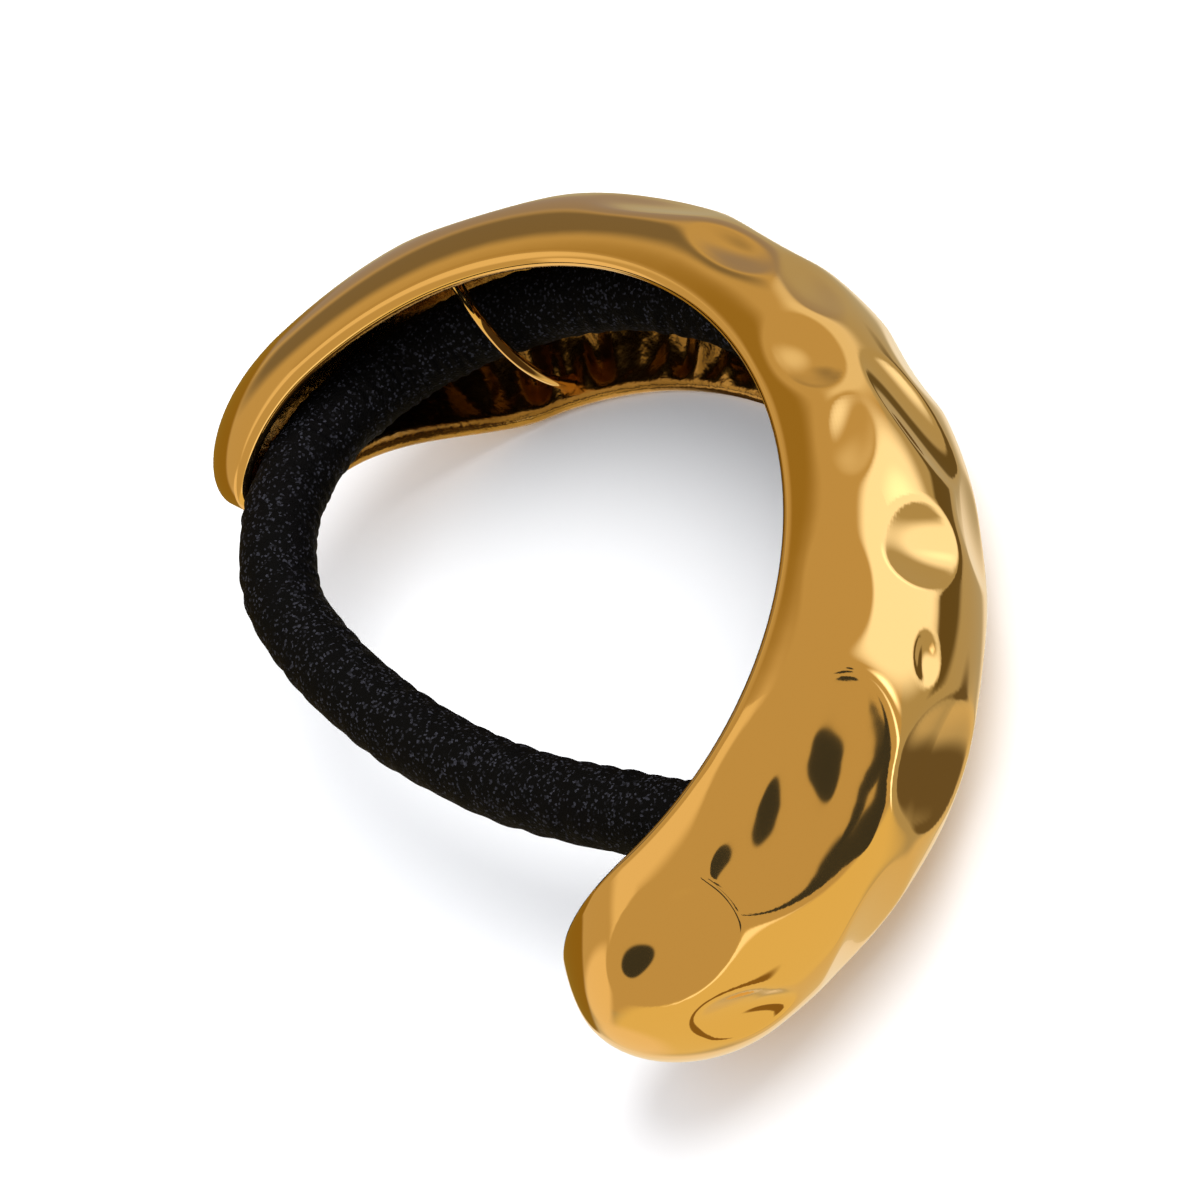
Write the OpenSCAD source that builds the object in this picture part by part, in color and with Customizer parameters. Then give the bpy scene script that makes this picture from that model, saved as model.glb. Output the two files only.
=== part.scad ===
// Ponytail cuff: a puffed, hammered metal channel bent into an open ring, with a closed ring of
// covered elastic lying in the channel and crossing the ring's opening.
// It lies on its lower rim. The origin is on the ponytail's axis, level with the surface below.
// The middle of the metal faces -Y and the opening faces +Y.

/* [Open ring] */
// Width of the hole between the rims' inner edges, left to right
ring_w = 48.6; // [42:0.1:60]
// Depth of the hole between the rims' inner edges, front to back, as if the ring were closed
ring_l = 47; // [42:0.1:60]
// Angle from the middle of the front to each tip
arm_angle = 110; // [100:1:118]

/* [Metal channel] */
// Height of the channel at the middle of the front
cuff_h = 17.6; // [16:0.1:22]
// How far the channel bulges out from the rims' inner edges
bulge = 8.5; // [8:0.1:11]
// Thickness of the metal
wall = 1.2; // [1:0.05:1.4]
// Slope of the upper rim, falling from the front to the tips
rim_slope_angle = 2.5; // [0:0.1:4]
// Fullness of the section's upper half, where 2 is an ellipse
upper_fullness_power = 2.3; // [2:0.1:2.8]
// Fullness of the section's lower half
lower_fullness_power = 2; // [1.8:0.1:2.6]
// Depth of the deepest hammered dent
dent_depth = 1.3; // [0:0.05:1.4]

/* [Elastic ring] */
// Thickness of the covered elastic
elastic_d = 5; // [4:0.1:5.4]
// How far the elastic lies outside the rims' inner edges, in the channel
elastic_set = 0.25; // [0:0.05:0.5]

/* [Keeper wires] */
// Thickness of the wires that hold the elastic in the channel
keeper_d = 0.8; // [0.6:0.05:1]
// Clear gap between a keeper wire and the elastic
keeper_gap = 0.3; // [0.2:0.05:0.6]
// Angle from the middle of the front to the right keeper
right_keeper_angle = 60; // [45:1:65]
// Angle from the middle of the front to the left keeper
left_keeper_angle = 50; // [40:1:56]

/* [Hidden] */
// Half a turn in degrees
HALF_TURN = 180;

// Sections of the channel along the arc, from the left tip at -1 to the right tip at 1:
// place, rise of the lower rim as a share of cuff_h, bulge as a share of the named bulge
PLACE = 0;
RISE = 1;
BULGE = 2;
SECTIONS = [
  [-1.00, 0.11, 1.03],
  [-0.85, 0.04, 1.03],
  [-0.60, 0.00, 1.07],
  [-0.30, 0.00, 0.93],
  [ 0.00, 0.00, 0.89],
  [ 0.30, 0.00, 0.94],
  [ 0.60, 0.01, 1.04],
  [ 0.85, 0.38, 0.86],
  [ 1.00, 0.45, 0.85]
];

// Share of the arc over which each tip rounds off, and its bulge at the very end as a share
TIP_REACH = 0;
TIP_BULGE = 1;
LEFT_TIP = [0.17, 0.20];
RIGHT_TIP = [0.20, 0.25];
// Height left at the very end of a tip, as a share of the full height
TIP_END_SHARE = 0.1;

// Hammered dents: place along the arc, angle up the section from its middle, half length and
// half width as shares of cuff_h, lean of the length towards the upper rim in degrees, depth as a
// share of dent_depth
ANGLE_UP = 1;
HALF_LONG = 2;
HALF_WIDE = 3;
LEAN = 4;
DEEP = 5;
DENTS = [
  [-0.640,  48, 0.48, 0.31,   0, 1.00],
  [-0.840,  50, 0.28, 0.22,   0, 0.77],
  [-0.835,  -2, 0.19, 0.11, -45, 0.46],
  [-0.700, -22, 0.28, 0.15,  30, 0.35],
  [-0.535,  -6, 0.26, 0.20, -35, 0.69],
  [-0.460,  20, 0.10, 0.07,  10, 0.23],
  [-0.340,  27, 0.18, 0.15, -50, 0.65],
  [-0.270, -14, 0.23, 0.17,   0, 0.38],
  [-0.175,  21, 0.28, 0.11,  29, 0.37],
  [-0.400,  66, 0.23, 0.12,  10, 0.17],
  [-0.220,  60, 0.20, 0.10, -10, 0.15],
  [-0.090,  66, 0.19, 0.12,   0, 0.32],
  [-0.060,  -6, 0.25, 0.16, -30, 0.35],
  [ 0.020,  38, 0.20, 0.14, -20, 0.27],
  [ 0.120,  58, 0.25, 0.12,   0, 0.27],
  [ 0.160,  12, 0.28, 0.16, -20, 0.31],
  [ 0.280,  44, 0.28, 0.15,  10, 0.31],
  [ 0.400,   8, 0.28, 0.16,   0, 0.35],
  [ 0.520,  36, 0.34, 0.17,   0, 0.31],
  [ 0.660,   8, 0.28, 0.15,   0, 0.27],
  [ 0.820,  24, 0.28, 0.15,   0, 0.23],
  [-0.660, -56, 0.31, 0.16,  20, 0.42],
  [-0.420, -42, 0.28, 0.15,   0, 0.42],
  [-0.200, -48, 0.28, 0.15,  10, 0.38],
  [ 0.040, -44, 0.31, 0.15,   0, 0.42],
  [ 0.280, -46, 0.28, 0.15, -10, 0.38],
  [ 0.520, -40, 0.31, 0.15,  10, 0.38]
];
// How softly the edge of a dent turns, where 0 is a sharp crease, and how far past it the last
// of its slope fades out
DENT_SOFTNESS = 0.15;
DENT_FADE = 3;

// Middle line of the elastic where it leaves the channel and crosses the opening, right to left:
// angle round from the front, distance from the ponytail's axis as a share of the distance in
// the channel, height as a share of cuff_h
ROUND_ANGLE = 0;
DISTANCE = 1;
HEIGHT = 2;
SPAN = [
  [  71, 1.000, 0.49],
  [  79, 0.985, 0.52],
  [  87, 0.930, 0.60],
  [  95, 0.880, 0.65],
  [ 103, 0.820, 0.69],
  [ 111, 0.755, 0.70],
  [ 124, 0.640, 0.68],
  [ 143, 0.445, 0.64],
  [ 184, 0.290, 0.59],
  [ 243, 0.360, 0.55],
  [ 270, 0.575, 0.53],
  [ 282, 0.805, 0.52],
  [ 291, 0.955, 0.51]
];
// Height of the elastic's middle line in the channel, as a share of cuff_h
SEAT_HEIGHT_SHARE = 0.49;
// Angles from the front between which the elastic lies fully in the channel
SEAT_LEFT_ANGLE = -58;
SEAT_RIGHT_ANGLE = 62;
SEAT_STEPS = 8;

// Fineness of the surfaces
STATIONS = 92;
OUTER_STEPS = 24;
INNER_STEPS = 16;
LIP_STEPS = 4;
ROPE_STEPS = 4;
ROPE_SIDES = 12;
KEEPER_STEPS = 10;
KEEPER_SIDES = 8;

ring_rx = ring_w / 2;
ring_ry = ring_l / 2;
lip_r = wall / 2;
arm_length = arm_angle * PI / HALF_TURN * (ring_w + ring_l) / 4;
seat_out = elastic_d / 2 + elastic_set;

// Smooth reading of a table's column at x, with no overshoot between the rows
function rows_slope(table, i, col) =
  (table[i + 1][col] - table[i][col]) / (table[i + 1][PLACE] - table[i][PLACE]);
function row_slope(table, i, col) =
  i == 0 ? rows_slope(table, 0, col)
  : i == len(table) - 1 ? rows_slope(table, i - 1, col)
  : let (before = rows_slope(table, i - 1, col), after = rows_slope(table, i, col))
    before * after <= 0 ? 0 : 2 * before * after / (before + after);
function row_before(table, x, i = 0) =
  i >= len(table) - 2 || x < table[i + 1][PLACE] ? i : row_before(table, x, i + 1);
function read_smooth(table, x, col) =
  let (
    i = row_before(table, x),
    gap = table[i + 1][PLACE] - table[i][PLACE],
    t = (x - table[i][PLACE]) / gap
  )
  table[i][col] * (2 * t ^ 3 - 3 * t ^ 2 + 1)
  + table[i + 1][col] * (3 * t ^ 2 - 2 * t ^ 3)
  + row_slope(table, i, col) * gap * (t ^ 3 - 2 * t ^ 2 + t)
  + row_slope(table, i + 1, col) * gap * (t ^ 3 - t ^ 2);

// Plan of the rims' inner edges, and the direction out from it
function plan_point(angle) = [ring_rx * sin(angle), -ring_ry * cos(angle)];
function plan_out(angle) =
  let (n = [ring_ry * sin(angle), -ring_rx * cos(angle)])
  n / norm(n);
function above_plan(angle, out, z) =
  let (p = plan_point(angle) + out * plan_out(angle))
  [p.x, p.y, z];

// Heights of the rims at a place along the arc
function upper_rim(place) =
  cuff_h - tan(rim_slope_angle) * (plan_point(place * arm_angle).y + ring_ry);
function lower_rim(place) = cuff_h * read_smooth(SECTIONS, place, RISE);

// How full the section still is near a tip: 1 along the arm, TIP_END_SHARE at its very end
function tip_share(place) =
  let (
    tip = place < 0 ? LEFT_TIP[TIP_REACH] : RIGHT_TIP[TIP_REACH],
    z = max(0, (abs(place) - (1 - tip)) / tip)
  )
  sqrt(1 - z ^ 2 * (1 - TIP_END_SHARE ^ 2));
function tip_bulge(place) =
  let (end = place < 0 ? LEFT_TIP[TIP_BULGE] : RIGHT_TIP[TIP_BULGE])
  end + (1 - end) * tip_share(place);

// How deep the dents press at a place along the arc and an angle up the section; where dents
// meet, the deeper one leads, so that a ridge is left between them
function dent_at(place, up) =
  dent_depth * tip_share(place) * sum([
    for (dent = DENTS)
      let (
        along = (place - dent[PLACE]) * arm_angle * PI / HALF_TURN * (ring_rx + bulge) / cuff_h,
        across = (up - dent[ANGLE_UP]) * PI / HALF_TURN / 2,
        x = (along * cos(dent[LEAN]) + across * sin(dent[LEAN])) / dent[HALF_LONG],
        y = (across * cos(dent[LEAN]) - along * sin(dent[LEAN])) / dent[HALF_WIDE],
        inside = 1 - x ^ 2 - y ^ 2
      )
      (dent[DEEP] * (inside + sqrt(inside ^ 2 + DENT_SOFTNESS ^ 2)) / 2
      * max(0, min(1, (inside + DENT_FADE) / DENT_FADE)) ^ 2) ^ 3
  ]) ^ (1 / 3);
function sum(list) = list * [for (item = list) 1];

// A point of the channel's section: skin is 0 on the outside and the wall on the inside
function section_point(place, up, skin) =
  let (
    fullness = up > 0 ? upper_fullness_power : lower_fullness_power,
    across = abs(cos(up)) ^ (2 / fullness),
    rise = sign(up) * abs(sin(up)) ^ (2 / fullness),
    high = (upper_rim(place) - lower_rim(place)) / 2,
    mid = (upper_rim(place) + lower_rim(place)) / 2,
    deep = bulge * read_smooth(SECTIONS, place, BULGE) * tip_bulge(place) - skin,
    press = dent_at(place, up),
    inset = place * (1 - skin / arm_length)
  )
  above_plan(
    inset * arm_angle,
    lip_r + (deep - lip_r) * across - press * cos(up),
    mid + (high - skin) * tip_share(place) * rise - press * sin(up)
  );

// A rounded lip from the outside to the inside of a rim, where side is 90 above and -90 below
function lip_point(place, side, turn) =
  let (
    outside = section_point(place, side, 0),
    inside = section_point(place, side, wall),
    inward = -plan_out(place * arm_angle)
  )
  (outside + inside) / 2 + cos(turn) * (outside - inside) / 2
  + sin(turn) * lip_r * [inward.x, inward.y, 0];

// The whole section as a closed loop that starts at the middle of the outside and goes up
function section_loop(place) = [
  for (i = [0:OUTER_STEPS / 2]) section_point(place, HALF_TURN * i / OUTER_STEPS, 0),
  for (i = [1:LIP_STEPS - 1]) lip_point(place, 90, HALF_TURN * i / LIP_STEPS),
  for (i = [0:INNER_STEPS]) section_point(place, 90 - HALF_TURN * i / INNER_STEPS, wall),
  for (i = [1:LIP_STEPS - 1]) lip_point(place, -90, HALF_TURN - HALF_TURN * i / LIP_STEPS),
  for (i = [0:OUTER_STEPS / 2 - 1]) section_point(place, HALF_TURN * i / OUTER_STEPS - 90, 0)
];

// Two triangles between four corners
function quad(a, b, c, d) = [[a, b, c], [a, c, d]];

// The channel: its sections joined along the arc, and each tip zipped shut between the
// upper and the lower half of its last section
module channel() {
  loops = [
    for (i = [0:STATIONS])
      section_loop(sin(HALF_TURN * i / STATIONS - 90))
  ];
  m = len(loops[0]);
  skin = [
    for (i = [0:STATIONS - 1], j = [0:m - 1])
      let (k = (j + 1) % m)
      each quad(i * m + j, i * m + k, (i + 1) * m + k, (i + 1) * m + j)
  ];
  half = floor(m / 2);
  zip = [
    for (j = [0:half - 1])
      let (up = j, next = j + 1, low = (m - j) % m, below = m - j - 1)
      each [
        if (up != low) [up, low, below],
        if (next != below) [up, below, next]
      ]
  ];
  far = STATIONS * m;
  polyhedron(
    points = [for (loop = loops) each loop],
    faces = concat(
      skin,
      zip,
      [for (f = zip) [far + f[0], far + f[2], far + f[1]]]
    )
  );
}

// A wire bowed round the inboard side of the elastic, its ends set in the upper and lower walls
module keeper(angle) {
  place = angle / arm_angle;
  low = lower_rim(place) + wall / 2;
  high = upper_rim(place) - wall / 2;
  seat = SEAT_HEIGHT_SHARE * cuff_h;
  crest = seat_out - elastic_d / 2 - keeper_gap - keeper_d / 2;
  foot = lip_r + wall;
  for (i = [0:KEEPER_STEPS - 1])
    hull()
      for (j = [i, i + 1]) {
        z = low + (high - low) * j / KEEPER_STEPS;
        reach = z > seat ? (z - seat) / (high - seat) : (seat - z) / (seat - low);
        translate(above_plan(angle, crest + (foot - crest) * reach ^ 2, z))
          sphere(d = keeper_d, $fn = KEEPER_SIDES);
      }
}

module cuff() {
  color([0.80, 0.57, 0.22])
    union() {
      channel();
      keeper(-left_keeper_angle);
      keeper(right_keeper_angle);
    }
}

// The elastic's middle line: round the channel, then across the opening
function seat_point(angle) = above_plan(angle, seat_out, SEAT_HEIGHT_SHARE * cuff_h);
function span_point(row) =
  let (at_seat = above_plan(row[ROUND_ANGLE], seat_out, 0))
  [row[DISTANCE] * at_seat.x, row[DISTANCE] * at_seat.y, row[HEIGHT] * cuff_h];
route = concat(
  [
    for (i = [0:SEAT_STEPS])
      seat_point(SEAT_LEFT_ANGLE + (SEAT_RIGHT_ANGLE - SEAT_LEFT_ANGLE) * i / SEAT_STEPS)
  ],
  [for (row = SPAN) span_point(row)]
);

// A closed smooth curve through the route
function route_at(i) = route[(i + len(route)) % len(route)];
function curve_point(i, t) =
  let (a = route_at(i - 1), b = route_at(i), c = route_at(i + 1), d = route_at(i + 2))
  (2 * b + (c - a) * t + (2 * a - 5 * b + 4 * c - d) * t ^ 2
  + (3 * b - a - 3 * c + d) * t ^ 3) / 2;

module elastic() {
  line = [
    for (i = [0:len(route) - 1], j = [0:ROPE_STEPS - 1])
      curve_point(i, j / ROPE_STEPS)
  ];
  n = len(line);
  rings = [
    for (i = [0:n - 1])
      let (
        along = line[(i + 1) % n] - line[(i + n - 1) % n],
        side = cross(along, [0, 0, 1]) / norm(cross(along, [0, 0, 1])),
        up = cross(side, along) / norm(along)
      )
      [
        for (k = [0:ROPE_SIDES - 1])
          line[i] + elastic_d / 2
          * (cos(360 * k / ROPE_SIDES) * side + sin(360 * k / ROPE_SIDES) * up)
      ]
  ];
  color([0.06, 0.06, 0.07])
    polyhedron(
      points = [for (ring = rings) each ring],
      faces = [
        for (i = [0:n - 1], k = [0:ROPE_SIDES - 1])
          let (
            here = i * ROPE_SIDES,
            next = (i + 1) % n * ROPE_SIDES,
            l = (k + 1) % ROPE_SIDES
          )
          each quad(here + k, next + k, next + l, here + l)
      ]
    );
}

cuff();
elastic();
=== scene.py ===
import math

import bpy
import numpy as np
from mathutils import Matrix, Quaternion, Vector


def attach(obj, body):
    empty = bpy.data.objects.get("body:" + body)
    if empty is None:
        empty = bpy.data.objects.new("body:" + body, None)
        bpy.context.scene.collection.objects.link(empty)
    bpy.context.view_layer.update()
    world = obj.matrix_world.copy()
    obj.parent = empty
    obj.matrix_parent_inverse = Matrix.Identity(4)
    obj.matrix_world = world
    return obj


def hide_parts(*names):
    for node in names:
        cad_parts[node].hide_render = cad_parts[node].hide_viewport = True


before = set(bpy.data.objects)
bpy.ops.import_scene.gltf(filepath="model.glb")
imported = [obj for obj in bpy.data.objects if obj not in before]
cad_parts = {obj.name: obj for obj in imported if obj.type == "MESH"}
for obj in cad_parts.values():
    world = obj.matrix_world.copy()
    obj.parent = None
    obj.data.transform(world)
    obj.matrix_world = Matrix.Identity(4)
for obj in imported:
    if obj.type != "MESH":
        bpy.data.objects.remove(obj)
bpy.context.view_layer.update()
bpy.ops.object.select_all(action="DESELECT")


# The camera stands where the photograph was taken from: above the left arm, looking down through
# the ring, and turned about its own line of sight.
camera_aim = Vector((-0.00104, -0.00657, 0.0088))
camera_azimuth = math.radians(-81.27)
camera_elevation = math.radians(46.57)
camera_roll = math.radians(-48.72)
camera_distance = 0.3072
camera_lens_mm = 148.5
camera_sensor_mm = 36


def direction(azimuth, elevation):
    """The way out from the cuff: azimuth 0 is -Y and 90 degrees is +X."""
    return Vector((
        math.sin(azimuth) * math.cos(elevation),
        -math.cos(azimuth) * math.cos(elevation),
        math.sin(elevation),
    ))


camera_back = direction(camera_azimuth, camera_elevation)
camera_turn = (-camera_back).to_track_quat("-Z", "Y") @ Quaternion((0, 0, 1), camera_roll)
bpy.ops.object.camera_add(
    location=camera_aim + camera_distance * camera_back, rotation=camera_turn.to_euler()
)
camera = bpy.context.object
camera.data.lens = camera_lens_mm
camera.data.sensor_width = camera_sensor_mm
camera.data.clip_start = 0.01
bpy.context.scene.camera = camera


# The cuff: a puffed channel of cast brass bent into an open ring. Its hollows were modelled in the
# wax, as if hammered. The casting was polished to a mirror outside and plated in yellow gold.
ring_wide = 0.0486
ring_deep = 0.0470
arm_angle = math.radians(110)
cuff_high = 0.0176
bulge = 0.0085
wall = 0.0012
rim_slope = math.radians(2.5)
upper_fullness = 2.3
lower_fullness = 2.0
stations = 520
outside_steps = 100
inside_steps = 36
lip_steps = 6
millimetre = 0.001

# place along the arc, rise of the lower rim and bulge, as shares of cuff_high and bulge
SECTIONS = [
    (-1.00, 0.11, 1.03),
    (-0.85, 0.04, 1.03),
    (-0.60, 0.00, 1.07),
    (-0.30, 0.00, 0.93),
    (0.00, 0.00, 0.89),
    (0.30, 0.00, 0.94),
    (0.60, 0.01, 1.04),
    (0.85, 0.38, 0.86),
    (1.00, 0.45, 0.85),
]
# share of the arc over which each tip rounds off, and of its bulge that is left at the very end
left_tip = (0.17, 0.20)
right_tip = (0.20, 0.25)

# The hollows are laid out in mm on the channel's skin. These mean radii turn a place along the arc
# and an angle up the section into mm. In hollow_depth, inside is 1 in a hollow's middle, 0 at its
# edge and -hollow_fade at twice its size, where the hollow has faded out.
arc_radius_mm = 32.0
section_radius_mm = 8.6
hollow_fade = 3

# place along the arc, degrees up the section, half length and half width in mm, lean in degrees,
# depth in mm, softness of the edge
HOLLOWS = [
    (-0.64, 48, 8.5, 5.4, 0, 1.3, 0.10),
    (-0.84, 50, 4.7, 3.6, 0, 1.35, 0.08),
    (-0.835, -2, 3.3, 2.0, -45, 0.80, 0.25),
    (-0.70, -22, 5.0, 2.6, 30, 0.45, 0.15),
    (-0.535, -6, 4.6, 3.6, -35, 0.90, 0.10),
    (-0.457, 20, 1.6, 1.0, 10, 0.30, 0.10),
    (-0.34, 27, 3.5, 2.8, -50, 0.80, 0.06),
    (-0.27, -14, 4.0, 3.0, 0, 0.50, 0.15),
    (-0.175, 21, 5.2, 2.5, 29, 0.60, 0.06),
    (-0.42, 64, 3.6, 1.9, 10, 0.28, 0.60),
    (-0.22, 60, 3.2, 1.6, -10, 0.28, 0.60),
    (-0.09, 66, 3.2, 2.2, 10, 0.60, 0.90),
    (-0.06, -6, 4.4, 2.8, -30, 0.45, 0.30),
    (0.02, 38, 3.4, 2.2, -20, 0.40, 0.80),
    (0.12, 58, 3.6, 1.9, 0, 0.40, 0.90),
    (0.16, 12, 5.0, 2.8, -20, 0.40, 0.40),
    (0.28, 44, 4.4, 2.3, 10, 0.45, 0.80),
    (0.40, 8, 5.0, 2.8, 0, 0.45, 0.30),
    (0.52, 36, 6.0, 3.0, 0, 0.40, 0.40),
    (0.66, 8, 5.0, 2.6, 0, 0.35, 0.30),
    (0.82, 24, 5.0, 2.6, 0, 0.30, 0.30),
    (-0.66, -56, 5.5, 2.8, 20, 0.55, 0.20),
    (-0.42, -42, 5.0, 2.6, 0, 0.55, 0.20),
    (-0.20, -48, 5.0, 2.6, 10, 0.50, 0.20),
    (0.04, -44, 5.5, 2.6, 0, 0.55, 0.20),
    (0.28, -46, 5.0, 2.6, -10, 0.50, 0.20),
    (0.52, -40, 5.5, 2.6, 10, 0.50, 0.20),
]


def read_sections(place, column):
    """A smooth reading of the sections' table along the arc, with no overshoot between the rows."""
    at = np.array([row[0] for row in SECTIONS])
    value = np.array([row[column] for row in SECTIONS])
    gap = np.diff(at)
    slope = np.diff(value) / gap
    before, after = slope[:-1], slope[1:]
    same_way = before * after > 0
    total = np.where(same_way, before + after, 1)
    middle = np.where(same_way, 2 * before * after / total, 0)
    tangent = np.concatenate([[slope[0]], middle, [slope[-1]]])
    i = np.clip(np.searchsorted(at, place, side="right") - 1, 0, len(gap) - 1)
    t = (place - at[i]) / gap[i]
    return (
        value[i] * (2 * t**3 - 3 * t**2 + 1)
        + value[i + 1] * (3 * t**2 - 2 * t**3)
        + tangent[i] * gap[i] * (t**3 - 2 * t**2 + t)
        + tangent[i + 1] * gap[i] * (t**3 - t**2)
    )


def tip_share(place):
    """How full the section still is near a tip: 1 along the arm, 0 at its very end."""
    length = np.where(place < 0, left_tip[0], right_tip[0])
    beyond = np.maximum(0, (np.abs(place) - (1 - length)) / length)
    return np.sqrt(np.maximum(0, 1 - beyond**2))


def hollow_depth(place, up):
    """How deep the hammered hollows press, in metres."""
    press = np.zeros(np.broadcast(place, up).shape)
    for at, high, half_long, half_wide, lean, deep, soft in HOLLOWS:
        along = (place - at) * arm_angle * arc_radius_mm
        across = np.radians(up - high) * section_radius_mm
        turn = math.radians(lean)
        x = (along * math.cos(turn) + across * math.sin(turn)) / half_long
        y = (-along * math.sin(turn) + across * math.cos(turn)) / half_wide
        inside = 1 - x**2 - y**2
        bowl = (inside + np.sqrt(inside**2 + soft**2)) / 2
        flat = np.clip((inside + hollow_fade) / hollow_fade, 0, 1) ** 2
        press += (deep * bowl * flat) ** 3
    return np.cbrt(press) * millimetre


def section_point(place, up, skin):
    """A point of the channel's section: skin is 0 on the outside and the wall on the inside."""
    share = tip_share(place)
    end_bulge = np.where(place < 0, left_tip[1], right_tip[1])
    fullness = np.where(up > 0, upper_fullness, lower_fullness)
    fullness = 2 + (fullness - 2) * share
    turn = np.radians(up)
    across = np.abs(np.cos(turn)) ** (2 / fullness)
    rise = np.sign(turn) * np.abs(np.sin(turn)) ** (2 / fullness)
    angle = place * arm_angle
    upper_rim = cuff_high - math.tan(rim_slope) * ring_deep / 2 * (1 - np.cos(angle))
    lower_rim = cuff_high * read_sections(place, 1)
    high = (upper_rim - lower_rim) / 2
    middle = (upper_rim + lower_rim) / 2
    deep = bulge * read_sections(place, 2) * (end_bulge + (1 - end_bulge) * share) - skin
    press = hollow_depth(place, up) * share
    out = wall / 2 + (deep - wall / 2) * across - press * np.cos(turn)
    level = middle + (high - skin) * share * rise - press * np.sin(turn)
    arm_length = arm_angle * (ring_wide + ring_deep) / 4
    return above_plan(angle * (1 - skin / arm_length), out, level)


def above_plan(angle, out, level):
    """The point over the rims' inner edge at that angle, moved out from it and up to that level."""
    normal = np.stack([ring_deep * np.sin(angle), -ring_wide * np.cos(angle)], axis=-1)
    normal /= np.linalg.norm(normal, axis=-1, keepdims=True)
    x = ring_wide / 2 * np.sin(angle) + out * normal[..., 0]
    y = -ring_deep / 2 * np.cos(angle) + out * normal[..., 1]
    return np.stack(np.broadcast_arrays(x, y, level), axis=-1)


# The inside's lumps are ripples added up: how many, how many waves each has along the arc and round
# a full turn of the section, from and to, and its height in metres. Of this height one share stays
# behind the elastic and another is added towards the rims, and at lumps_end they have faded out.
lump_ripples = 14
lump_waves = (14, 44)
lump_turns = (1, 5)
lump_high = 0.00005
lump_behind_elastic = 0.2
lump_near_rims = 3.8
lumps_end = 0.75


def cast_lumps(place, up):
    """The uneven inside of the casting, in metres: low behind the elastic, none at lips and tips."""
    lumps = np.random.default_rng(11)
    height = np.zeros(np.shape(place))
    for _ in range(lump_ripples):
        waves, around = lumps.uniform(*lump_waves), lumps.uniform(*lump_turns)
        shift = lumps.uniform(0, 2 * math.pi, 2)
        ripple = np.sin(math.pi * waves * place + shift[0])
        height += ripple * np.sin(around * np.radians(up) + shift[1])
    inner_arm = np.clip(1 - (place / lumps_end) ** 6, 0, 1)
    by_height = lump_behind_elastic + lump_near_rims * np.sin(np.radians(up)) ** 4
    return lump_high * height * inner_arm * by_height * (1 - (up / 90) ** 8)


def lip_point(place, side, turn):
    """A point of a rim's rounded lip: side is 90 above and -90 below, and turn 0 is outside."""
    outside = section_point(place, np.full_like(place, side), 0)
    inside = section_point(place, np.full_like(place, side), wall)
    angle = place * arm_angle
    rim = above_plan(angle, 0 * angle, 0 * angle)
    inward = above_plan(angle, np.full_like(place, -wall / 2), 0 * angle) - rim
    middle = (outside + inside) / 2
    return middle + math.cos(turn) * (outside - inside) / 2 + math.sin(turn) * inward


def shade_smooth(piece):
    """Rounds the shading of a piece."""
    bpy.ops.object.select_all(action="DESELECT")
    piece.select_set(True)
    bpy.context.view_layer.objects.active = piece
    bpy.ops.object.shade_smooth()


def rolled_grid(name, points, finishes=None):
    """A grid whose vertices take the places in rows and columns. Edges that meet are joined.

    A finish is the number of a material slot, one for each strip between two columns.
    """
    rows, columns = points.shape[:2]
    bpy.ops.mesh.primitive_grid_add(x_subdivisions=columns - 1, y_subdivisions=rows - 1, size=2)
    piece = bpy.context.object
    piece.name = name
    piece.data.vertices.foreach_set("co", points.reshape(-1))
    if finishes is not None:
        piece.data.polygons.foreach_set("material_index", np.tile(finishes, rows - 1))
    bpy.ops.object.mode_set(mode="EDIT")
    bpy.ops.mesh.select_all(action="SELECT")
    bpy.ops.mesh.remove_doubles(threshold=1e-6)
    bpy.ops.mesh.normals_make_consistent(inside=False)
    bpy.ops.object.mode_set(mode="OBJECT")
    return piece


# A grid is shaped into the channel: its rows are the sections, and its columns go once round the
# wall, so the first and the last column meet, and so do the halves of the first and last rows.
row_place = np.sin(np.linspace(-math.pi / 2, math.pi / 2, stations + 1))


def skin_column(up, skin):
    """The places of one column of the grid, at that many degrees up every section."""
    return section_point(row_place, np.full_like(row_place, up), skin)


lip_turns = np.linspace(0, math.pi, lip_steps + 1)
outside_ups = np.linspace(-90, 90, outside_steps + 1)
inside_ups = np.linspace(90, -90, inside_steps + 1)
columns = [skin_column(up, 0) for up in outside_ups]
columns += [lip_point(row_place, 90, turn) for turn in lip_turns[1:-1]]
columns += [skin_column(up, wall + cast_lumps(row_place, up)) for up in inside_ups]
columns += [lip_point(row_place, -90, turn) for turn in lip_turns[-2::-1]]

# The outside and half of the upper lip are polished. The rest, down the inside and round the lower
# lip, is as cast.
polished_strips = outside_steps + lip_steps // 2
finishes = [0] * polished_strips + [1] * (len(columns) - 1 - polished_strips)
channel = rolled_grid("cuff_channel", np.stack(columns, axis=1), finishes)
shade_smooth(channel)


def from_hex(colour):
    """An sRGB hex colour as the linear colour that a shader takes."""
    shares = [int(colour[i : i + 2], 16) / 255 for i in (1, 3, 5)]
    return tuple(s / 12.92 if s <= 0.04045 else ((s + 0.055) / 1.055) ** 2.4 for s in shares) + (1,)


def node(tree, kind, sockets, **settings):
    """Adds a node with its settings. A socket takes a value or another node's output.

    It goes by its name, or by its number where several sockets of the node share a name.
    """
    made = tree.nodes.new(kind)
    for name, value in settings.items():
        setattr(made, name, value)
    for name, value in sockets.items():
        socket = made.inputs[name]
        if isinstance(value, bpy.types.NodeSocket):
            tree.links.new(value, socket)
        else:
            socket.default_value = value
    return made


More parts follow.
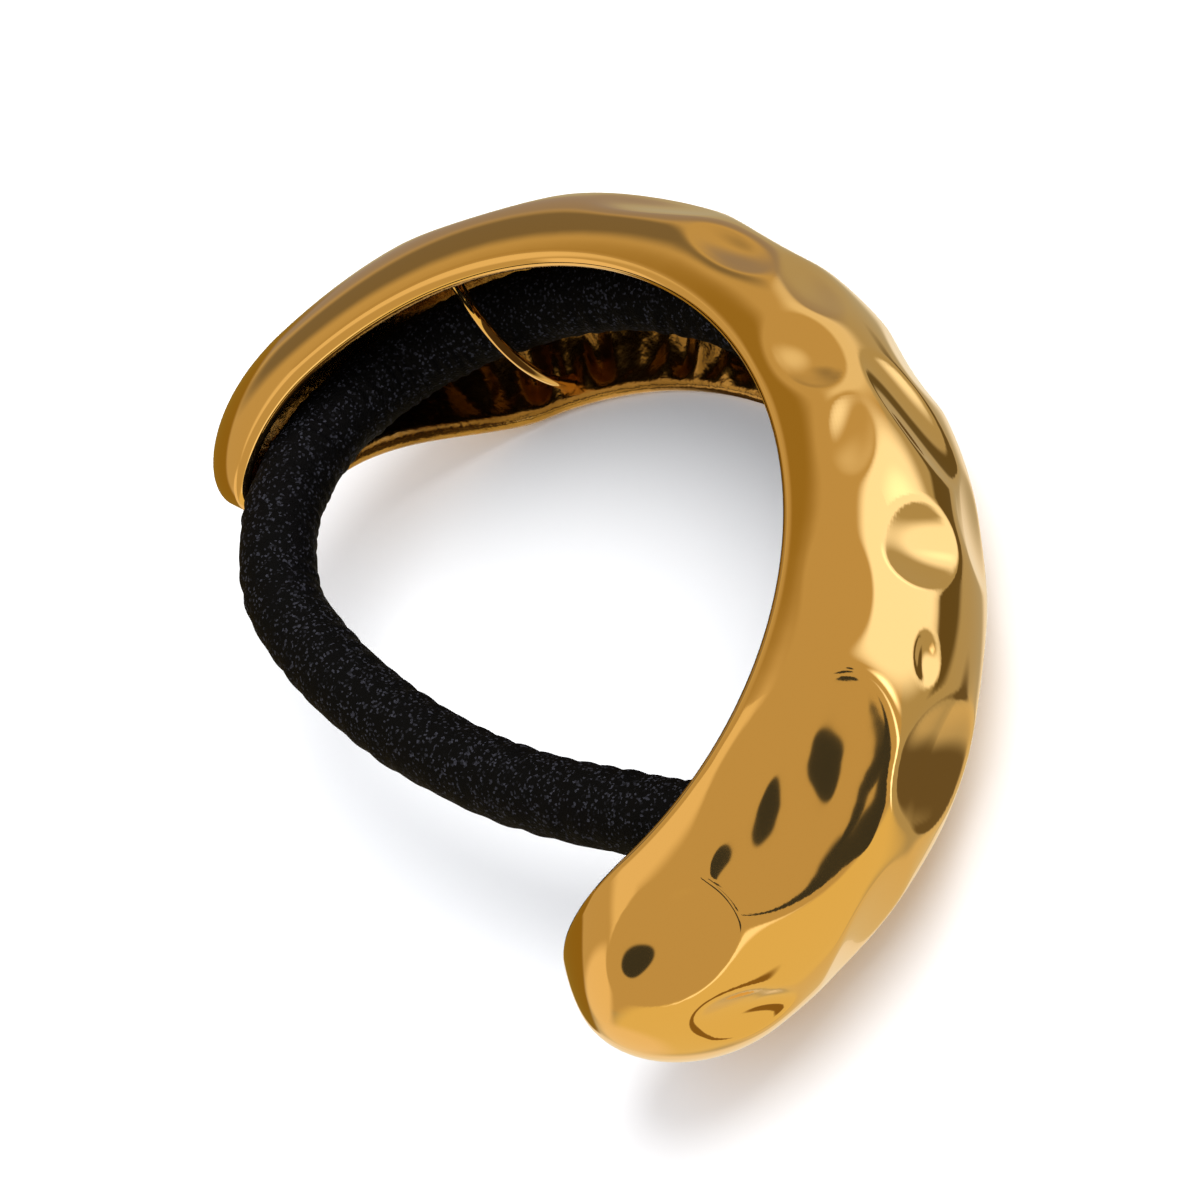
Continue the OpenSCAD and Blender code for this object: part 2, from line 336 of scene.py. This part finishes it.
def new_material(name):
    """An empty material and its node tree."""
    made = bpy.data.materials.new(name)
    made.use_nodes = True
    made.node_tree.nodes.clear()
    return made, made.node_tree


# Yellow gold plating over mirror-polished brass, under a clear lacquer: crisp reflections, a trace
# of the polishing mop in the gloss, marks of about 4 mm, a faint waviness of about 2.5 mm, and a
# pale glint from the lacquer where a light is very bright. A pattern's scale is its marks in a mm.
per_mm = 1000
gold, tree = new_material("gold_plated_polished_brass")
place = node(tree, "ShaderNodeTexCoord", {})
mop = node(
    tree,
    "ShaderNodeTexNoise",
    {"Vector": place.outputs["Object"], "Scale": 0.26 * per_mm, "Detail": 3},
)
gloss = node(
    tree, "ShaderNodeMapRange", {"Value": mop.outputs["Fac"], "To Min": 0.02, "To Max": 0.06}
)
ripple = node(
    tree,
    "ShaderNodeTexNoise",
    {"Vector": place.outputs["Object"], "Scale": 0.42 * per_mm, "Detail": 1},
)
skin = node(
    tree,
    "ShaderNodeBump",
    {"Height": ripple.outputs["Fac"], "Strength": 0.05, "Distance": 0.1 * millimetre},
)
metal = node(
    tree,
    "ShaderNodeBsdfPrincipled",
    {
        "Base Color": from_hex("#f8cd82"),
        "Metallic": 1,
        "Roughness": gloss.outputs["Result"],
        "Normal": skin.outputs["Normal"],
        "Coat Weight": 0.5,
        "Coat Roughness": 0.06,
    },
)
node(tree, "ShaderNodeOutputMaterial", {"Surface": metal.outputs["BSDF"]})
channel.data.materials.append(gold)

# The inside keeps the casting's own skin, where no polishing mop reaches: the same plating lies thin
# and brownish, in clouds of about 3 mm over pits of half a mm, and gives soft brown glows.
as_cast, tree = new_material("gold_plated_brass_as_cast")
place = node(tree, "ShaderNodeTexCoord", {})
cloud = node(
    tree,
    "ShaderNodeTexNoise",
    {"Vector": place.outputs["Object"], "Scale": 0.3 * per_mm, "Detail": 2},
)
tone = node(
    tree,
    "ShaderNodeMix",
    {0: cloud.outputs["Fac"], 6: from_hex("#6b4c25"), 7: from_hex("#e6ba72")},
    data_type="RGBA",
)
pits = node(
    tree,
    "ShaderNodeTexNoise",
    {"Vector": place.outputs["Object"], "Scale": 1.8 * per_mm, "Detail": 2},
)
skin = node(
    tree,
    "ShaderNodeBump",
    {"Height": pits.outputs["Fac"], "Strength": 0.3, "Distance": 0.2 * millimetre},
)
metal = node(
    tree,
    "ShaderNodeBsdfPrincipled",
    {
        "Base Color": tone.outputs[2],
        "Metallic": 1,
        "Roughness": 0.22,
        "Normal": skin.outputs["Normal"],
    },
)
node(tree, "ShaderNodeOutputMaterial", {"Surface": metal.outputs["BSDF"]})
channel.data.materials.append(as_cast)
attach(channel, "root")
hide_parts("cuff")


# The keepers: two bits of brass wire, bowed round the elastic's inboard side and soldered to the
# channel's upper and lower walls, where the solder draws up round their ends.
elastic_wide = 0.005
elastic_set = 0.00025
seat_level = 0.49 * cuff_high
keeper_wide = 0.0008
keeper_gap = 0.0003
solder_wide = 0.0017
keeper_foot = 1.5 * wall
keeper_right_angle = math.radians(60)
keeper_left_angle = math.radians(-50)
keeper_steps = 48
keeper_sides = 16
# share of the way from the seat to a wall where the solder starts, to swell up to the wall
solder_start = 0.72


def keeper_wire(name, angle):
    """A bowed wire at that angle from the middle of the front, with solder at its ends."""
    place = np.array([angle / arm_angle])
    low = section_point(place, np.array([-90.0]), wall / 2)[0][2]
    high = section_point(place, np.array([90.0]), wall / 2)[0][2]
    crest = elastic_set - keeper_gap - keeper_wide / 2
    level = np.linspace(low, high, keeper_steps + 1)
    upwards = (level - seat_level) / (high - seat_level)
    downwards = (seat_level - level) / (seat_level - low)
    reach = np.where(level > seat_level, upwards, downwards)
    bow = crest + (keeper_foot - crest) * reach**2
    line = above_plan(np.full_like(level, angle), bow, level)
    swell = np.clip((reach - solder_start) / (1 - solder_start), 0, 1) ** 2
    thick = keeper_wide / 2 + (solder_wide - keeper_wide) / 2 * swell
    thick[[0, -1]] = 0  # closes the wire's ends, inside the walls
    along = np.gradient(line, axis=0)
    along /= np.linalg.norm(along, axis=1, keepdims=True)
    across = np.array([math.cos(angle), math.sin(angle), 0])
    out = np.cross(across, along)
    turn = np.linspace(0, 2 * math.pi, keeper_sides + 1)[None, :, None]
    ring = np.cos(turn) * across + np.sin(turn) * out[:, None, :]
    wire = rolled_grid(name, line[:, None, :] + thick[:, None, None] * ring)
    shade_smooth(wire)
    wire.data.materials.append(gold)
    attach(wire, "root")


keeper_wire("keeper_right", keeper_right_angle)
keeper_wire("keeper_left", keeper_left_angle)


# The covered elastic: a ring of rubber cord in a fine black nylon knit, 5 mm thick. It lies in the
# channel behind the two keepers and crosses the ring's opening, where the ponytail pulls it tight.
seat_left = math.radians(-58)
seat_right = math.radians(62)
seat_steps = 8

# angle round from the front in degrees, share of the distance from the axis, share of cuff_high
SPAN = [
    (71, 1.000, 0.49),
    (79, 0.985, 0.52),
    (87, 0.930, 0.60),
    (95, 0.880, 0.65),
    (103, 0.820, 0.69),
    (111, 0.755, 0.70),
    (124, 0.640, 0.68),
    (143, 0.445, 0.64),
    (184, 0.290, 0.59),
    (243, 0.360, 0.55),
    (270, 0.575, 0.53),
    (282, 0.805, 0.52),
    (291, 0.955, 0.51),
]
seat_out = elastic_wide / 2 + elastic_set
route = [
    above_plan(angle, seat_out, seat_level)
    for angle in np.linspace(seat_left, seat_right, seat_steps + 1)
]
for angle, distance, level in SPAN:
    at_seat = above_plan(math.radians(angle), seat_out, 0)
    route.append(np.array([distance * at_seat[0], distance * at_seat[1], level * cuff_high]))
route = np.array(route)


def closed_curve(points, t):
    """A smooth closed curve through the points, where t counts them."""
    i = np.floor(t).astype(int)
    f = (t - i)[:, None]
    a, b, c, d = (points[(i + k) % len(points)] for k in (-1, 0, 1, 2))
    squared = (2 * a - 5 * b + 4 * c - d) * f**2
    cubed = (3 * b - a - 3 * c + d) * f**3
    return (2 * b + (c - a) * f + squared + cubed) / 2


ring_segments = 900
tube_segments = 64

# The cord isn't quite even: the waves in a whole round of the ring, and their height in metres.
# Each comes with one, two and three waves round the cord.
UNEVENNESS = [(9, 0.00002), (23, 0.00002), (61, 0.000025), (79, 0.000025), (101, 0.00002)]
line = closed_curve(route, np.linspace(0, len(route), ring_segments + 1))
along = np.roll(line[:-1], -1, axis=0) - np.roll(line[:-1], 1, axis=0)
along = np.concatenate([along, along[:1]])
along /= np.linalg.norm(along, axis=1, keepdims=True)
side = np.cross(along, [0, 0, 1])
side /= np.linalg.norm(side, axis=1, keepdims=True)
above = np.cross(side, along)
turn = np.linspace(0, 2 * math.pi, tube_segments + 1)
arc = np.linspace(0, 2 * math.pi, ring_segments + 1)
radius = np.full((ring_segments + 1, tube_segments + 1), elastic_wide / 2)
random = np.random.default_rng(5)
for waves, high in UNEVENNESS:
    for around in (1, 2, 3):
        shift = random.uniform(0, 2 * math.pi, 2)
        round_ring, round_cord = np.sin(waves * arc + shift[0]), np.sin(around * turn + shift[1])
        radius += high * np.outer(round_ring, round_cord)
sideways = np.cos(turn)[None, :, None] * side[:, None, :]
upwards = np.sin(turn)[None, :, None] * above[:, None, :]
surface = line[:, None, :] + radius[..., None] * (sideways + upwards)
elastic = rolled_grid("covered_elastic", surface)
shade_smooth(elastic)

# Black nylon yarn in a fine knit of about 0.15 mm a stitch: nearly lightless. Grey specks painted
# into its colour at random stitches are painted glints, for stitches that lie square to the light.
nylon, tree = new_material("black_knitted_nylon")
place = node(tree, "ShaderNodeTexCoord", {})
stitch = node(
    tree, "ShaderNodeTexVoronoi", {"Vector": place.outputs["Object"], "Scale": 6.8 * per_mm}
)
chance = node(tree, "ShaderNodeSeparateColor", {"Color": stitch.outputs["Color"]})
# A painted glint: a grey speck painted into the yarn's colour at random stitches, whatever the
# light.
painted_glint = node(tree, "ShaderNodeMapRange", {"Value": chance.outputs["Red"], "From Min": 0.83})
yarn_colour_with_painted_glints = node(
    tree,
    "ShaderNodeMix",
    {0: painted_glint.outputs["Result"], 6: from_hex("#060607"), 7: from_hex("#303037")},
    data_type="RGBA",
)
relief = node(
    tree,
    "ShaderNodeBump",
    {"Height": stitch.outputs["Distance"], "Strength": 0.5, "Distance": 0.1 * millimetre},
)
yarn = node(
    tree,
    "ShaderNodeBsdfPrincipled",
    {
        "Base Color": yarn_colour_with_painted_glints.outputs[2],
        "Roughness": 0.7,
        "Specular IOR Level": 0.06,
        "Normal": relief.outputs["Normal"],
    },
)
node(tree, "ShaderNodeOutputMaterial", {"Surface": yarn.outputs["BSDF"]})
elastic.data.materials.append(nylon)
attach(elastic, "root")
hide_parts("elastic")


# The studio: a pale floor, a large soft light and a pale room. Round them stand a warm tent, a
# window's light, shades and dark flags, which are seen in reflections alone and light nothing.
def stand_in_light(name, colour, strength, soft):
    """A material that gives off light of one colour, and fades out towards an oval card's edge."""
    made, tree = new_material(name)
    glow = node(tree, "ShaderNodeEmission", {"Color": from_hex(colour), "Strength": strength})
    place = node(tree, "ShaderNodeTexCoord", {})
    inward = node(
        tree,
        "ShaderNodeTexGradient",
        {"Vector": place.outputs["Object"]},
        gradient_type="SPHERICAL",
    )
    fade = node(
        tree,
        "ShaderNodeMapRange",
        {"Value": inward.outputs["Fac"], "From Max": soft},
        interpolation_type="SMOOTHSTEP",
    )
    clear = node(tree, "ShaderNodeBsdfTransparent", {})
    lit = node(
        tree,
        "ShaderNodeMixShader",
        {0: fade.outputs["Result"], 1: clear.outputs["BSDF"], 2: glow.outputs["Emission"]},
    )
    node(tree, "ShaderNodeOutputMaterial", {"Surface": lit.outputs["Shader"]})
    return made


def only_reflected(card):
    """The card shows in reflections, and lights nothing else."""
    card.visible_camera = False
    card.visible_diffuse = False
    card.visible_shadow = False
    card.visible_transmission = False


def card(name, azimuth, elevation, wide, high, lean, colour, strength, soft, distance):
    """An oval card that faces the cuff: its place, size and lean are degrees as the cuff sees it."""
    out = direction(math.radians(azimuth), math.radians(elevation))
    turn = out.to_track_quat("Z", "Y") @ Quaternion((0, 0, 1), math.radians(lean))
    bpy.ops.mesh.primitive_circle_add(
        vertices=48,
        radius=1,
        fill_type="NGON",
        location=camera_aim + distance * out,
        rotation=turn.to_euler(),
    )
    made = bpy.context.object
    made.name = name
    made.scale = (
        distance * math.tan(math.radians(wide / 2)),
        distance * math.tan(math.radians(high / 2)),
        1,
    )
    made.data.materials.append(stand_in_light(name, colour, strength, soft))
    only_reflected(made)


# The tent is greyer below. Its cloth turns warmer from tent_low up to tent_high, both in metres.
tent_radius = 6
tent_low = -0.49
tent_high = -0.11
bpy.ops.mesh.primitive_uv_sphere_add(segments=48, ring_count=24, radius=tent_radius)
tent = bpy.context.object
tent.name = "warm_tent"
cloth, tree = new_material("warm_cloth")
place = node(tree, "ShaderNodeTexCoord", {})
axes = node(tree, "ShaderNodeSeparateXYZ", {"Vector": place.outputs["Object"]})
horizon = node(
    tree,
    "ShaderNodeMapRange",
    {"Value": axes.outputs["Z"], "From Min": tent_low, "From Max": tent_high},
)
hue = node(
    tree,
    "ShaderNodeMix",
    {0: horizon.outputs["Result"], 6: from_hex("#b4a887"), 7: from_hex("#c4ad7c")},
    data_type="RGBA",
)
glow = node(tree, "ShaderNodeEmission", {"Color": hue.outputs[2]})
node(tree, "ShaderNodeOutputMaterial", {"Surface": glow.outputs["Emission"]})
tent.data.materials.append(cloth)
only_reflected(tent)

# A card's name, azimuth, elevation, width, height and lean, then its colour, strength and the
# softness of its edge, and its distance in metres.
card("window", -8, 10, 58, 86, 0, "#ffffff", 1.2, 0.35, 1.3)
card("window_bar_1", 2, 2, 14, 44, 0, "#ffffff", 1.6, 0.9, 1.28)
card("window_bar_2", -38, 16, 12, 44, 0, "#ffffff", 2.2, 0.9, 1.28)
card("pale_wall", 34, 12, 34, 60, 0, "#ece0c6", 1, 0.6, 1.29)
card("low_shade", 10, -37, 66, 20, 0, "#665836", 1, 0.35, 1.15)
card("right_shade", 78, -8, 90, 40, 0, "#9c9086", 1, 0.6, 1.25)
card("far_shade", 84, 20, 70, 32, 0, "#7e725c", 1, 0.5, 1.22)
card("gold_shade", 84, 50, 46, 34, 0, "#9b7f3b", 1, 0.7, 1.21)
card("low_sun", -118, -30, 130, 100, 0, "#e6d090", 1, 0.4, 1.2)
card("under_shade", -12, -58, 26, 18, 0, "#6b5d40", 1, 0.5, 1.1)
card("under_sun", 118, -60, 80, 56, 0, "#f4e4c4", 1, 0.4, 1.15)
card("pale_strip", -104, 6, 70, 14, 0, "#fff4dc", 1.2, 0.6, 1.1)
card("brown_side", 124, -16, 60, 64, 0, "#907228", 1, 0.15, 1.1)
card("dark_flag_1", -69.3, 44.2, 3.8, 8.7, 34, "#3d3d3a", 1, 0.15, 0.7)
card("dark_flag_2", -60.3, 49.3, 4.4, 10.5, 39, "#3d3d3a", 1, 0.15, 0.7)
card("dark_flag_3", -48.5, 48.6, 3.4, 6, -19, "#3d3d3a", 1, 0.15, 0.7)
card("pale_side", 128, 56, 74, 32, 0, "#ecd6aa", 1, 0.6, 1.2)
card("dark_flag_4", -64.8, 11, 4.6, 46, -2, "#3d3d3a", 1, 0.15, 0.7)
card("glint_strip", -53, 2, 7, 70, 0, "#ffffff", 2, 0.8, 0.75)
card("pale_back", 166, 4, 36, 72, 0, "#f0d9ae", 1, 0.4, 1.15)
card("dark_flag_5", -101, 42, 11, 42, 0, "#3d3d3a", 1, 0.15, 0.7)
card("dark_flag_6", -65.6, 30, 1.8, 16, 24, "#3d3d3a", 1, 0.15, 0.7)
card("brown_flag", -110, -38, 26, 14, 0, "#8a6a30", 1, 0.3, 0.9)
card("under_gold", -60, -84, 60, 44, 0, "#dcc795", 1, 0.5, 1.18)
card("pale_heel", 178, -34, 50, 44, 0, "#f2dcb2", 1, 0.5, 1.19)
card("ring_shade", 0, -90, 136, 136, 0, "#453520", 1, 0.1, 0.0085)

floor_wide = 2.2
bpy.ops.mesh.primitive_plane_add(size=floor_wide, location=(0, 0, 0))
floor = bpy.context.object
floor.name = "floor"
paper, tree = new_material("pale_paper")
matt = node(tree, "ShaderNodeBsdfDiffuse", {"Color": from_hex("#f6f6f6")})
node(tree, "ShaderNodeOutputMaterial", {"Surface": matt.outputs["BSDF"]})
floor.data.materials.append(paper)
floor.visible_glossy = False  # the metal mirrors the tent instead

light_azimuth = math.radians(5)
light_elevation = math.radians(60)
light_distance = 0.7
light_wide = 0.6
light_watts = 4
light_out = direction(light_azimuth, light_elevation)
light_turn = light_out.to_track_quat("Z", "Y")
bpy.ops.object.light_add(
    type="AREA", location=light_distance * light_out, rotation=light_turn.to_euler()
)
key = bpy.context.object
key.data.shape = "DISK"
key.data.size = light_wide
key.data.energy = light_watts
key.visible_glossy = False

room_strength = 1.12
world = bpy.data.worlds.new("pale_room")
bpy.context.scene.world = world
world.use_nodes = True
room = world.node_tree.nodes["Background"]
room.inputs["Color"].default_value = from_hex("#f2f4f8")
room.inputs["Strength"].default_value = room_strength
bpy.context.scene.view_settings.view_transform = "Standard"
